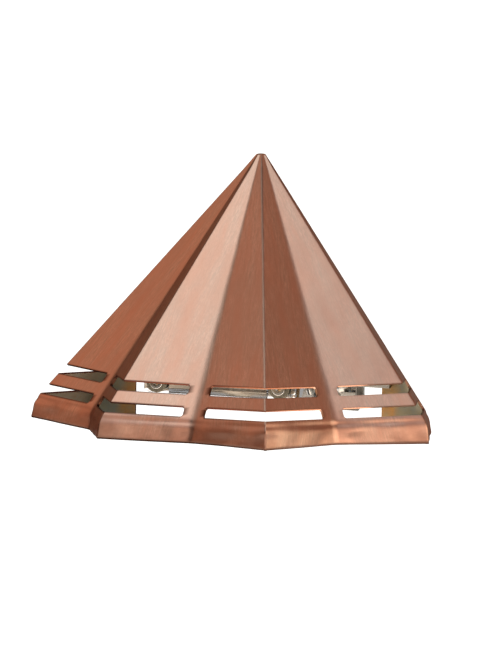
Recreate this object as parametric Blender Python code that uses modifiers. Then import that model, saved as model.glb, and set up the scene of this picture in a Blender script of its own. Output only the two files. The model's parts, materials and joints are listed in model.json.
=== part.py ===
"""Half-pyramid copper light for the side face of a fence post, as separate sub-parts.

The sizes below are in millimetres, and turned into metres where a mesh is made. Heights
are measured from the lowest edge of the shade's ridges, which is the plane Z = 0 of the
empty that every sub-part is parented to. The world origin is the middle of the mounting
face: X is across the post, -Y is away from it, and Z is up.
"""
import math

import bmesh
import bpy
from mathutils import Vector

MM = 0.001
GAP = 0.3                   # clearance between pieces that touch

# Frame
MOUNT_HEIGHT = 20.0         # midway between the two post slots

# Copper shade: a half star pyramid with a ridge or a valley every 22.5 degrees
FOLD_ANGLE = 22.5
FOLDS = 8                   # from the left end valley to the right end valley
APEX_HEIGHT = 89.4          # where the folds would meet
TIP_HEIGHT = 87.6           # where the tip is closed
SLOPE = 0.881               # ridge radius lost per unit of height
VALLEY_RATIO = 0.7942       # valley radius over ridge radius
WEB = 3.7                   # half the width of the web that crosses a valley
VALLEY_DROP = 1.15          # slot edges hang lower at the valleys
SHEET = 0.8
FLANGE_EDGE = 43.2          # inner edges of the return flanges, from the middle plane
PANEL_EDGE = 17.65          # lower edge of the tall panels
FIN_HEIGHTS = (11.1, 14.7)  # the fin between the two rows of slots
LIP_TOP = 8.15
LIP_KNEE = (5.6, 73.8)      # height and ridge radius of the lip's knee
LIP_BELLY = (3.0, 74.6)
LIP_RADIUS = 75.0
LIP_VALLEY_RATIO = 0.8044

# Back plate
PLATE = 1.5
PLATE_BOTTOM = 8.0
PLATE_SHOULDER = 22.0
PLATE_TOP = 50.0
PLATE_HALF_WIDTH = 37.0
PLATE_TOP_HALF_WIDTH = 20.0
EAR = (46.3, 13.0, 21.0)    # outer edge, bottom and top of the ears over the flanges
SHELF = (12.0, 14.0)        # half width and reach of the shelf for the retaining screw
POST_SLOT = (14.0, 2.3, 15.0, 25.0)
GROMMET_HEIGHT = 33.0
GROMMET_HOLE = 4.3
HOOK = (31.0, 36.0)         # the cable hook's two edges
HOOK_RADIUS = 3.2

# Lamp bracket
BRACKET = 1.2
WEB_FRONT = 36.4            # reach of the strap's ends; the middle stands proud of them
BAR_FRONT = 37.3
BAR_HALF = 16.8
BAR_STEP = 0.25             # width of the slope down from the middle to the ends
ARM_OUT = 26.2
ARM_BEND = 31.0             # reach at which the arms have their full depth
FOOT_END = 35.0
BAR_HEIGHTS = (10.7, 19.6)  # lower and upper edge of the strap's middle
WEB_HEIGHTS = (12.7, 19.8)
ARM_HEIGHTS = (11.0, 21.4)
FOOT_HEIGHTS = (9.0, 26.0)
BRACKET_BEND = 1.8
FOOT_RIVET = 30.8
FOOT_RIVET_HEIGHTS = (13.0, 21.5)
RIVET_SHANK = 1.4
RIVET_HEAD = 2.6
RIVET_DOME = 1.1
HOLE_CLEAR = 0.3
REFLECTOR_RIVET = (22.0, 14.4)

# Lamp contacts
CONTACT_X = 21.0            # the eyelets stand half a 42 mm lamp each side of the middle
CONTACT_HEIGHT = 15.3
EYELET = 1.5
EYELET_BORE = 1.0
EYELET_FLANGE = 2.3
EYELET_ROLL = 0.4           # thickness of its flanges
WASHER = 3.6
WASHER_THICK = 0.8
CLIP = 0.5
CLIP_EDGES = (17.8, 23.2)
CLIP_FOOT = 3.2             # half the height of a clip's foot on the strap
CLIP_NECK = 4.8             # height above the contact where the clip reaches the lamp
CLIP_LATCH = (1.2, 2.0, 4.6)        # how far its end flares, and from and to how far below the lamp
CAP_CLEAR = 0.1             # the clip stands this far off the lamp's cap
TAIL_EDGES = (19.2, 22.0)
TAIL = 7.0                  # length of the tab that the terminal is pushed on
TERMINAL = (4.2, 6.0, 2.4)  # width, length and height
TERMINAL_START = 2.5        # where it starts on the tail
TERMINAL_POCKET = 3.4       # width inside
BARREL = (1.3, 5.0)         # radius and length of the crimp
BARREL_MIDDLE = 2.0         # behind the terminal's body

# Lamp
LAMP_Y = -27.15
LAMP_HEIGHT = 23.0
LAMP_HALF = 21.0
GLASS = (4.0, 3.4, 15.2)    # outer radius, inner radius, half length
CAP = 4.25
CAP_NOSE = (1.7, 1.0)       # radius and length of the contact tip on each cap
FILAMENT = 0.45
FILAMENT_SAG = 0.5
REFLECTOR_RADIUS = 8.3
REFLECTOR_SHEET = 0.6
REFLECTOR_ARC = (165.0, 50.0)       # from its back edge over the lamp to its front edge
REFLECTOR_TAB = (3.0, 3.2, 12.2)    # ahead of the lamp, behind the rivet, and its lower edge

# Shade fixing
SCREW_Y = -7.0
SCREW = 1.9
SCREW_HEAD = 5.0
SCREW_HEAD_HEIGHT = 4.0
SCREW_PAST_NUT = 0.5
SCREW_SLOT = (0.6, 1.2)     # half width and depth
KNURLS = 24
KNURL_DEPTH = 0.35
SCREW_WASHER = (4.6, 0.8)   # radius and thickness
NUT = (7.0, 3.0)            # across flats, and thickness
NUT_CLEAR = 0.1
STRAP_HEIGHT = 50.3
STRAP = 1.2
STRAP_EDGES = ((-3.0, -3.0), (-11.0, -8.0))     # y at the strap's level, and at its ends' tops
STRAP_TOP = 55.5

# Leads
LEAD = 1.1
LEAD_SPREAD = 1.35
SLACK_HEIGHTS = (6.2, 12.5) # lowest point of the left and the right lead's loop

COPPER = ((0.62, 0.30, 0.19), 0.35, 1.0)
STAINLESS = ((0.62, 0.62, 0.60), 0.25, 1.0)
BRASS = ((0.72, 0.55, 0.25), 0.3, 1.0)
FIBRE = ((0.30, 0.27, 0.20), 0.7, 0.0)
RUBBER = ((0.03, 0.03, 0.03), 0.8, 0.0)


# Scene and object helpers

def clear_scene():
    for obj in list(bpy.data.objects):
        bpy.data.objects.remove(obj, do_unlink=True)


def new_collection(name):
    made = bpy.data.collections.new(name)
    bpy.context.scene.collection.children.link(made)
    return made


def new_material(name, look):
    colour, roughness, metallic = look
    made = bpy.data.materials.new(name)
    made.use_nodes = True
    shader = made.node_tree.nodes["Principled BSDF"]
    shader.inputs["Base Color"].default_value = (*colour, 1.0)
    shader.inputs["Roughness"].default_value = roughness
    shader.inputs["Metallic"].default_value = metallic
    return made


clear_scene()
parts = new_collection("fence_post_light")
cutters = new_collection("cutters")
datum = bpy.data.objects.new("shade_datum", None)
datum.location = (0.0, 0.0, -MOUNT_HEIGHT * MM)
parts.objects.link(datum)


def place(name, mesh, at=(0.0, 0.0, 0.0), turn=(0.0, 0.0, 0.0), look=None):
    """A part where look is given, and otherwise a cutter."""
    obj = bpy.data.objects.new(name, mesh)
    obj.parent = datum
    obj.location = Vector(at) * MM
    obj.rotation_euler = turn
    if look is None:
        cutters.objects.link(obj)
        obj.hide_render = True
        obj.display_type = "WIRE"
    else:
        parts.objects.link(obj)
        mesh.materials.append(new_material(name, look))
    return obj


def mesh_of(name, bm):
    """The bmesh, in millimetres, as a mesh in metres."""
    bmesh.ops.scale(bm, vec=(MM, MM, MM), verts=bm.verts)
    mesh = bpy.data.meshes.new(name)
    bm.to_mesh(mesh)
    bm.free()
    return mesh


def block(name, low, high, look=None):
    bm = bmesh.new()
    bmesh.ops.create_cube(bm, size=1.0)
    low, high = Vector(low), Vector(high)
    bmesh.ops.scale(bm, vec=high - low, verts=bm.verts)
    return place(name, mesh_of(name, bm), at=(low + high) / 2, look=look)


def rod(name, radius, length, at, axis, look=None, sides=24):
    """A cylinder centred at a point, along X, Y or Z."""
    bm = bmesh.new()
    bmesh.ops.create_cone(
        bm, cap_ends=True, segments=sides, radius1=radius, radius2=radius, depth=length
    )
    turn = {"X": (0.0, math.pi / 2, 0.0), "Y": (math.pi / 2, 0.0, 0.0), "Z": (0.0, 0.0, 0.0)}
    return place(name, mesh_of(name, bm), at=at, turn=turn[axis], look=look)


def turned(name, profile, at, turn, look, closed=True, steps=24):
    """A solid of revolution about local Z. The profile runs down its outer side."""
    bm = bmesh.new()
    points = [bm.verts.new((radius, 0.0, height)) for radius, height in profile]
    for first, second in zip(points, points[1:]):
        bm.edges.new((first, second))
    if closed:
        bm.edges.new((points[-1], points[0]))
    obj = place(name, mesh_of(name, bm), at=at, turn=turn, look=look)
    screw = obj.modifiers.new("Turn", "SCREW")
    screw.steps = steps
    screw.render_steps = steps
    screw.use_merge_vertices = True
    screw.merge_threshold = 1e-6
    screw.use_smooth_shade = True
    return obj


FACING_FRONT = (math.pi / 2, 0.0, 0.0)
FACING_RIGHT = (0.0, math.pi / 2, 0.0)
FACING_LEFT = (0.0, -math.pi / 2, 0.0)
UPRIGHT = (0.0, 0.0, 0.0)


def grid_faces(bm, rows):
    """Quads between rows of points. Their normal is along the row crossed with up the rows."""
    made = [[bm.verts.new(point) for point in row] for row in rows]
    for lower, upper in zip(made, made[1:]):
        for i in range(len(lower) - 1):
            bm.faces.new((lower[i], lower[i + 1], upper[i + 1], upper[i]))


def thicken(obj, thickness):
    solid = obj.modifiers.new("Sheet", "SOLIDIFY")
    solid.thickness = thickness * MM
    solid.offset = -1.0
    solid.solidify_mode = "NON_MANIFOLD"
    solid.nonmanifold_thickness_mode = "CONSTRAINTS"


def bent_sheet(name, rows, thickness, look=None):
    """Sheet metal through rows of points, its thickness behind the faces' normals."""
    bm = bmesh.new()
    grid_faces(bm, rows)
    obj = place(name, mesh_of(name, bm), look=look)
    thicken(obj, thickness)
    return obj


def flat_sheet(name, outline, y, thickness, look=None):
    """A plate with its front face at y. The outline is (x, z), anticlockwise from the front."""
    bm = bmesh.new()
    bm.faces.new([bm.verts.new((x, y, z)) for x, z in outline])
    obj = place(name, mesh_of(name, bm), look=look)
    thicken(obj, thickness)
    return obj


def bend(points, radius, corners=None, steps=3):
    """The path with its corners, or those listed, turned into bends that start radius before them."""
    points = [Vector(point) for point in points]
    path = [points[0]]
    for i in range(1, len(points) - 1):
        corner = points[i]
        if corners is not None and i not in corners:
            path.append(corner)
            continue
        start = corner + (points[i - 1] - corner).normalized() * radius
        end = corner + (points[i + 1] - corner).normalized() * radius
        for j in range(steps + 1):
            t = j / steps
            path.append(start * (1 - t) ** 2 + corner * 2 * t * (1 - t) + end * t ** 2)
    path.append(points[-1])
    return path


def combine(obj, other, operation):
    modifier = obj.modifiers.new(other.name, "BOOLEAN")
    modifier.operation = operation
    modifier.object = other


def drill(obj, radius, at, axis, length=10.0):
    combine(obj, rod(f"{obj.name}_hole", radius, length, at, axis), "DIFFERENCE")


def capsule(x, radius, low, high, steps=8):
    """Outline of an upright slot with round ends."""
    outline = []
    for centre, start in ((high - radius, 0.0), (low + radius, math.pi)):
        for i in range(steps + 1):
            angle = start + math.pi * i / steps
            outline.append((x + radius * math.cos(angle), centre + radius * math.sin(angle)))
    return outline


def arc(centre, radius, start, end, steps):
    """Points (y, z) on an arc, angles in degrees from +Y towards +Z."""
    angles = [math.radians(start + (end - start) * i / steps) for i in range(steps + 1)]
    return [(centre[0] + radius * math.cos(a), centre[1] + radius * math.sin(a)) for a in angles]


def across(path, x_left, x_right):
    """Two rows of points: a (y, z) path at the right edge, and again at the left one."""
    return [[(x, y, z) for y, z in path] for x in (x_right, x_left)]


# Copper shade

def ridge_radius(height):
    return SLOPE * (APEX_HEIGHT - height)


def fold_point(fold, height, radius, ratio, drop, spread=SLOPE):
    """A point on a fold: odd folds are ridges, and even ones valleys, which hang lower."""
    angle = math.radians(FOLD_ANGLE * (fold - FOLDS / 2))
    if fold % 2 == 0:
        radius = (radius + spread * drop) * ratio
        height -= drop
    return Vector((radius * math.sin(angle), -radius * math.cos(angle), height))


def shade_row(height, radius, ratio=VALLEY_RATIO, spread=SLOPE):
    """The folds at one level, the edges of each valley's web, and the flanges' inner edges."""
    folds = [
        fold_point(fold, height, radius, ratio, VALLEY_DROP, spread) for fold in range(FOLDS + 1)
    ]
    row = [Vector((-FLANGE_EDGE, 0.0, folds[0].z))]
    for fold in range(FOLDS):
        valley, ridge = (fold, fold + 1) if fold % 2 == 0 else (fold + 1, fold)
        along = (folds[ridge] - folds[valley]).normalized()
        row += [folds[fold], folds[valley] + along * WEB]
    return row + [folds[FOLDS], Vector((FLANGE_EDGE, 0.0, folds[FOLDS].z))]


def is_slot(column):
    """True where a panel is open between two webs: the half of it that meets a ridge."""
    panel, half = divmod(column - 1, 2)
    on_panel = 1 <= column <= 2 * FOLDS
    return on_panel and half == (1 if panel % 2 == 0 else 0)


def shade_band(bm, lower, upper, open_slots):
    for i in range(len(lower) - 1):
        if not (open_slots and is_slot(i)):
            bm.faces.new((lower[i], lower[i + 1], upper[i + 1], upper[i]))


def shade_top(bm, edge):
    """The tall panels up to the tip, the flanges' points, and the small face at the tip."""
    tip = [
        bm.verts.new(fold_point(fold, TIP_HEIGHT, ridge_radius(TIP_HEIGHT), VALLEY_RATIO, 0.0))
        for fold in range(FOLDS + 1)
    ]
    flange_tip = APEX_HEIGHT - FLANGE_EDGE / (SLOPE * VALLEY_RATIO)
    left = bm.verts.new((-FLANGE_EDGE, 0.0, flange_tip))
    right = bm.verts.new((FLANGE_EDGE, 0.0, flange_tip))
    for fold in range(FOLDS):
        first = 1 + 2 * fold
        corners = [edge[first], edge[first + 1], edge[first + 2]]
        corners += [right] if fold == FOLDS - 1 else []
        corners += [tip[fold + 1], tip[fold]]
        corners += [left] if fold == 0 else []
        bm.faces.new(corners)
    bm.faces.new((edge[0], edge[1], left))
    bm.faces.new((edge[-2], edge[-1], right))
    bm.faces.new(tip)


def copper_shade():
    heights = (LIP_TOP, *FIN_HEIGHTS, PANEL_EDGE)
    rows = [
        shade_row(0.0, LIP_RADIUS, LIP_VALLEY_RATIO, spread=0.0),
        shade_row(*LIP_BELLY, (LIP_VALLEY_RATIO + VALLEY_RATIO) / 2, spread=SLOPE / 2),
        shade_row(*LIP_KNEE),
        *[shade_row(height, ridge_radius(height)) for height in heights],
    ]
    bm = bmesh.new()
    made = [[bm.verts.new(point) for point in row] for row in rows]
    bands = (False, False, False, True, False, True)
    for lower, upper, open_slots in zip(made, made[1:], bands):
        shade_band(bm, lower, upper, open_slots)
    shade_top(bm, made[-1])
    obj = place("copper_shade", mesh_of("copper_shade", bm), look=COPPER)
    thicken(obj, SHEET)


# Back plate, bracket and their rivets

def back_plate():
    half = [
        (PLATE_HALF_WIDTH, PLATE_BOTTOM),
        (PLATE_HALF_WIDTH, PLATE_SHOULDER),
        (PLATE_TOP_HALF_WIDTH, PLATE_TOP),
    ]
    outline = half + [(-x, z) for x, z in reversed(half)]
    plate = flat_sheet("back_plate", outline, -PLATE, PLATE, STAINLESS)
    ear_edge, ear_low, ear_high = EAR
    ear_back = -SHEET - GAP
    for side in (-1, 1):
        edges = sorted((side * (PLATE_HALF_WIDTH - PLATE), side * ear_edge))
        low = (edges[0], ear_back - PLATE, ear_low)
        combine(plate, block("ear", low, (edges[1], ear_back, ear_high)), "UNION")
    width, reach = SHELF
    shelf = block("shelf", (-width, -reach, PLATE_TOP - PLATE), (width, -PLATE / 2, PLATE_TOP))
    combine(plate, shelf, "UNION")
    combine(plate, cable_hook(), "UNION")
    slot_x, slot_radius, slot_low, slot_high = POST_SLOT
    for x in (-slot_x, slot_x):
        outline = capsule(x, slot_radius, slot_low, slot_high)
        combine(plate, flat_sheet("post_slot", outline, -2 * PLATE, 3 * PLATE), "DIFFERENCE")
    drill(plate, GROMMET_HOLE, (0.0, 0.0, GROMMET_HEIGHT), "Y")
    drill(plate, SCREW + HOLE_CLEAR, (0.0, SCREW_Y, PLATE_TOP), "Z")
    for x, z in foot_rivets():
        drill(plate, RIVET_SHANK + HOLE_CLEAR, (x, 0.0, z), "Y")


def cable_hook():
    """A finger of the plate that curls forward and up at its lower right corner."""
    back = -0.1
    centre = (back - HOOK_RADIUS, PLATE_BOTTOM + 0.4)
    curl = arc(centre, HOOK_RADIUS, 0.0, -180.0, 10)
    path = [(back, PLATE_BOTTOM + 3.0), *curl, (back - 2 * HOOK_RADIUS, PLATE_BOTTOM + 3.5)]
    return bent_sheet("cable_hook", across(path, *HOOK), BRACKET)


def foot_rivets():
    return [(x, z) for x in (-FOOT_RIVET, FOOT_RIVET) for z in FOOT_RIVET_HEIGHTS]


def lamp_bracket():
    """A hat-shaped strap: each path point is (x, y, lower edge, upper edge)."""
    foot_front = -PLATE - GAP - BRACKET
    right = [
        (BAR_HALF, -BAR_FRONT, *BAR_HEIGHTS),
        (BAR_HALF + BAR_STEP, -WEB_FRONT, *WEB_HEIGHTS),
        (ARM_OUT, -WEB_FRONT, *WEB_HEIGHTS),
        (ARM_OUT, -ARM_BEND, *ARM_HEIGHTS),
        (ARM_OUT, foot_front, *FOOT_HEIGHTS),
        (FOOT_END, foot_front, *FOOT_HEIGHTS),
    ]
    left = [(-x, y, low, high) for x, y, low, high in reversed(right)]
    path = bend(left + right, BRACKET_BEND, corners=(1, 3, 8, 10))
    lower = [(x, y, low) for x, y, low, high in path]
    upper = [(x, y, high) for x, y, low, high in path]
    bracket = bent_sheet("lamp_bracket", [lower, upper], BRACKET, STAINLESS)
    for x in (-CONTACT_X, CONTACT_X):
        drill(bracket, EYELET + HOLE_CLEAR, (x, -WEB_FRONT, CONTACT_HEIGHT), "Y")
    for x, z in foot_rivets():
        drill(bracket, RIVET_SHANK + HOLE_CLEAR, (x, foot_front, z), "Y")
    reach, height = REFLECTOR_RIVET
    for x in (-ARM_OUT, ARM_OUT):
        drill(bracket, RIVET_SHANK + HOLE_CLEAR, (x, -reach, height), "X", length=6.0)


def rivet(name, at, turn, grip):
    """A domed head at local Z = 0 and up, and a shank that goes grip below it."""
    dome = [(RIVET_HEAD * math.cos(a), RIVET_DOME * math.sin(a)) for a in dome_angles()]
    profile = [*dome, (RIVET_HEAD, 0.0), (RIVET_SHANK, 0.0), (RIVET_SHANK, -grip), (0.0, -grip)]
    return turned(name, profile, at, turn, STAINLESS, closed=False, steps=16)


def dome_angles(steps=5):
    return [math.pi / 2 * (1 - i / steps) for i in range(steps)]


def rivets():
    head = -PLATE - GAP - BRACKET - GAP
    for i, (x, z) in enumerate(foot_rivets()):
        rivet(f"bracket_rivet_{i + 1}", (x, head, z), FACING_FRONT, -head - GAP)
    reach, height = REFLECTOR_RIVET
    head = ARM_OUT + GAP
    grip = head - (ARM_OUT - BRACKET - GAP - REFLECTOR_SHEET - 0.2)
    rivet("reflector_rivet_left", (-head, -reach, height), FACING_LEFT, grip)
    rivet("reflector_rivet_right", (head, -reach, height), FACING_RIGHT, grip)


# Lamp contacts: on each eyelet a washer, the strap, a washer and the clip

def stack_back(pieces):
    """The y of the back face of a stack of thicknesses behind the strap, each with a gap."""
    y = -WEB_FRONT + BRACKET
    for thickness in pieces:
        y += GAP + thickness
    return y


def ring(name, inner, outer, y_front, thickness, x, look):
    half = thickness / 2
    profile = [(outer, half), (outer, -half), (inner, -half), (inner, half)]
    turned(name, profile, (x, y_front + half, CONTACT_HEIGHT), FACING_FRONT, look)


def eyelet(side, x):
    front = WEB_FRONT + GAP + WASHER_THICK + GAP
    back = -stack_back((WASHER_THICK, CLIP)) - GAP
    profile = [
        (EYELET_FLANGE, front + EYELET_ROLL),
        (EYELET_FLANGE, front),
        (EYELET, front),
        (EYELET, back),
        (EYELET_FLANGE, back),
        (EYELET_FLANGE, back - EYELET_ROLL),
        (EYELET_BORE, back - EYELET_ROLL),
        (EYELET_BORE, front + EYELET_ROLL),
    ]
    turned(f"eyelet_{side}", profile, (x, 0.0, CONTACT_HEIGHT), FACING_FRONT, BRASS)


def washers(side, x):
    bore = EYELET + HOLE_CLEAR
    front = -WEB_FRONT - GAP - WASHER_THICK
    ring(f"front_washer_{side}", bore, WASHER, front, WASHER_THICK, x, FIBRE)
    back = stack_back((WASHER_THICK,)) - WASHER_THICK
    ring(f"rear_washer_{side}", bore, WASHER, back, WASHER_THICK, x, FIBRE)


def clip_back():
    """The y of the clip's outer face behind the lamp, where its tail starts."""
    return LAMP_Y + CAP + CAP_CLEAR + CLIP


def lamp_clip(side, sign):
    """A spring strip: up the back of the strap, over the lamp's cap and down behind it."""
    base = stack_back((WASHER_THICK,)) + GAP
    front = LAMP_Y - CAP - CAP_CLEAR - CLIP
    back = clip_back()
    top = LAMP_HEIGHT + CAP + GAP + CLIP
    flare, latch, end = CLIP_LATCH
    path = [
        (base, CONTACT_HEIGHT - CLIP_FOOT),
        (base, CONTACT_HEIGHT + CLIP_FOOT),
        (front, CONTACT_HEIGHT + CLIP_NECK),
        (front, top),
        (back, top),
        (back, LAMP_HEIGHT - latch),
        (back + flare, LAMP_HEIGHT - end),
    ]
    edges = sorted(sign * edge for edge in CLIP_EDGES)
    clip = bent_sheet(f"lamp_clip_{side}", across(bend(path, 0.7), *edges), CLIP, BRASS)
    tail_edges = sorted(sign * edge for edge in TAIL_EDGES)
    low = (tail_edges[0], back - 3 * CLIP, top - CLIP)
    tail = block("clip_tail", low, (tail_edges[1], back + TAIL, top))
    combine(clip, tail, "UNION")
    drill(clip, EYELET + HOLE_CLEAR, (sign * CONTACT_X, base, CONTACT_HEIGHT), "Y", length=4.0)


def terminal(side, sign):
    """A push-on terminal over the clip's tail, with its crimp barrel to the back."""
    middle = sign * sum(TAIL_EDGES) / 2
    tail_height = LAMP_HEIGHT + CAP + GAP + CLIP / 2
    half_width, half_height = TERMINAL[0] / 2, TERMINAL[2] / 2
    front = clip_back() + TERMINAL_START
    back = front + TERMINAL[1]
    body = block(
        f"terminal_{side}",
        (middle - half_width, front, tail_height - half_height),
        (middle + half_width, back, tail_height + half_height),
        BRASS,
    )
    at = (middle, back + BARREL_MIDDLE, tail_height)
    combine(body, rod("barrel", *BARREL, at, "Y"), "UNION")
    pocket = block(
        "pocket",
        (middle - TERMINAL_POCKET / 2, front - GAP, tail_height - CLIP / 2 - GAP),
        (middle + TERMINAL_POCKET / 2, clip_back() + TAIL + GAP, tail_height + CLIP / 2 + GAP),
    )
    combine(body, pocket, "DIFFERENCE")


def lead_route(sign, slack_height):
    """From the terminal's barrel, down in a slack loop, and up to the grommet."""
    height = LAMP_HEIGHT + CAP + GAP + CLIP / 2
    start = sum(TAIL_EDGES) / 2
    barrel_end = clip_back() + TERMINAL_START + TERMINAL[1] + BARREL_MIDDLE + BARREL[1] / 2
    points = [
        (start, barrel_end + GAP, height),
        (start, barrel_end + 1.6, height - 0.2),
        (start - 0.6, barrel_end + 3.2, height - 2.5),
        (18.0, -7.5, 19.5),
        (14.6, -10.5, (19.5 + slack_height) / 2 - 1.0),
        (10.2, -13.0, slack_height),
        (6.4, -11.5, slack_height + 3.5),
        (3.4, -8.6, GROMMET_HEIGHT - 11.5),
        (1.9, -6.6, GROMMET_HEIGHT - 5.0),
        (LEAD_SPREAD, -4.7, GROMMET_HEIGHT - 1.0),
        (LEAD_SPREAD, -2.6, GROMMET_HEIGHT),
        (LEAD_SPREAD, -0.5, GROMMET_HEIGHT),
    ]
    return [Vector((sign * x, y, z)) for x, y, z in points]


def smooth_route(points, steps=4):
    """Points on a Catmull-Rom curve through the route."""
    ends = [2 * points[0] - points[1], *points, 2 * points[-1] - points[-2]]
    made = []
    for p0, p1, p2, p3 in zip(ends, ends[1:], ends[2:], ends[3:]):
        for i in range(steps):
            t = i / steps
            made.append(0.5 * (
                2 * p1 + (p2 - p0) * t
                + (2 * p0 - 5 * p1 + 4 * p2 - p3) * t ** 2
                + (3 * p1 - p0 - 3 * p2 + p3) * t ** 3
            ))
    return made + [points[-1]]


def wire(name, points, radius, look, resolution=2):
    curve = bpy.data.curves.new(name, "CURVE")
    curve.dimensions = "3D"
    curve.bevel_depth = radius * MM
    curve.bevel_resolution = resolution
    curve.use_fill_caps = True
    spline = curve.splines.new("POLY")
    spline.points.add(len(points) - 1)
    for place_point, point in zip(spline.points, points):
        place_point.co = (*(point * MM), 1.0)
    obj = bpy.data.objects.new(name, curve)
    obj.parent = datum
    parts.objects.link(obj)
    curve.materials.append(new_material(name, look))


def leads():
    dark_blue = ((0.03, 0.05, 0.16), 0.5, 0.0)
    wire("lead_left", smooth_route(lead_route(-1, SLACK_HEIGHTS[0])), LEAD, RUBBER)
    wire("lead_right", smooth_route(lead_route(1, SLACK_HEIGHTS[1])), LEAD, dark_blue)


def lead_grommet():
    """A rubber ring: its flange in front of the plate, its neck through the plate's hole."""
    front = PLATE + GAP
    profile = [
        (4.6, front + 1.5),
        (5.8, front + 1.0),
        (5.8, front),
        (GROMMET_HOLE - GAP, front),
        (GROMMET_HOLE - GAP, 0.2),
        (2.9, 0.2),
        (2.9, front + 1.5),
    ]
    turned("lead_grommet", profile, (0.0, 0.0, GROMMET_HEIGHT), FACING_FRONT, RUBBER)


# Lamp and reflector

def lamp():
    axis = (0.0, LAMP_Y, LAMP_HEIGHT)
    outer, inner, half = GLASS
    profile = [(outer, half), (outer, -half), (inner, -half), (inner, half)]
    turned("lamp_glass", profile, axis, FACING_RIGHT, ((0.9, 0.95, 0.95), 0.05, 0.0))
    start = half + GAP
    nose, nose_length = CAP_NOSE
    profile = [
        (0.0, LAMP_HALF),
        (nose - 0.5, LAMP_HALF),
        (nose, LAMP_HALF - nose_length / 2),
        (nose, LAMP_HALF - nose_length),
        (CAP - 0.3, LAMP_HALF - 2 * nose_length),
        (CAP, LAMP_HALF - 2 * nose_length - 0.4),
        (CAP, start),
        (0.0, start),
    ]
    steel = ((0.75, 0.74, 0.70), 0.2, 1.0)
    turned("lamp_cap_right", profile, axis, FACING_RIGHT, steel, closed=False)
    turned("lamp_cap_left", profile, axis, FACING_LEFT, steel, closed=False)
    reach = half - GAP
    shares = [i / 4 for i in range(-4, 5)]
    line = [Vector((reach * t, LAMP_Y, LAMP_HEIGHT - FILAMENT_SAG * (1 - t ** 2))) for t in shares]
    wire("lamp_filament", line, FILAMENT, ((0.25, 0.24, 0.22), 0.4, 1.0), resolution=1)


def reflector():
    """A hood over the lamp, with a tab down each arm of the bracket."""
    out = ARM_OUT - BRACKET - GAP
    hood = arc((LAMP_Y, LAMP_HEIGHT), REFLECTOR_RADIUS, *REFLECTOR_ARC, 12)
    body = bent_sheet("reflector", across(hood, -out, out), REFLECTOR_SHEET,
                      ((0.85, 0.85, 0.85), 0.12, 1.0))
    reach, height = REFLECTOR_RIVET
    ahead, behind, low = REFLECTOR_TAB
    top = LAMP_HEIGHT + REFLECTOR_RADIUS - 1.4
    for side in (-1, 1):
        edges = sorted((side * (out - REFLECTOR_SHEET), side * out))
        tab = block("tab", (edges[0], LAMP_Y - ahead, low), (edges[1], -reach + behind, top))
        combine(body, tab, "UNION")
        drill(body, RIVET_SHANK + HOLE_CLEAR, (side * out, -reach, height), "X", length=4.0)


# Shade fixing

def end_panel_x(y, height, inset):
    """The x of a surface this far inside an end panel's outer face."""
    angle = math.radians(FOLD_ANGLE)
    valley = Vector((SLOPE * VALLEY_RATIO, 0.0, -1.0))
    ridge = Vector((SLOPE * math.cos(angle), -SLOPE * math.sin(angle), -1.0))
    normal = valley.cross(ridge).normalized()
    normal = normal if normal.x > 0 else -normal
    from_apex = normal.y * y + normal.z * (height - APEX_HEIGHT)
    return (-inset - from_apex) / normal.x


def hanger_strap():
    """A strap across the shade near its top, its ends bent up along the end panels."""
    inset = SHEET + GAP
    rows = []
    for y_low, y_high in STRAP_EDGES:
        low = end_panel_x(y_low, STRAP_HEIGHT, inset)
        high = end_panel_x(y_high, STRAP_TOP, inset)
        half = [(low, y_low, STRAP_HEIGHT), (high, y_high, STRAP_TOP)]
        rows.append([(-x, y, z) for x, y, z in reversed(half)] + half)
    strap = bent_sheet("hanger_strap", rows, STRAP, BRASS)
    drill(strap, SCREW + HOLE_CLEAR, (0.0, SCREW_Y, STRAP_HEIGHT), "Z")


def hanger_nut():
    flats, thick = NUT
    at = (0.0, SCREW_Y, STRAP_HEIGHT + STRAP + GAP + thick / 2)
    nut = rod("hanger_nut", flats / math.sqrt(3), thick, at, "Z", look=BRASS, sides=6)
    drill(nut, SCREW + NUT_CLEAR, at, "Z")


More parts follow.
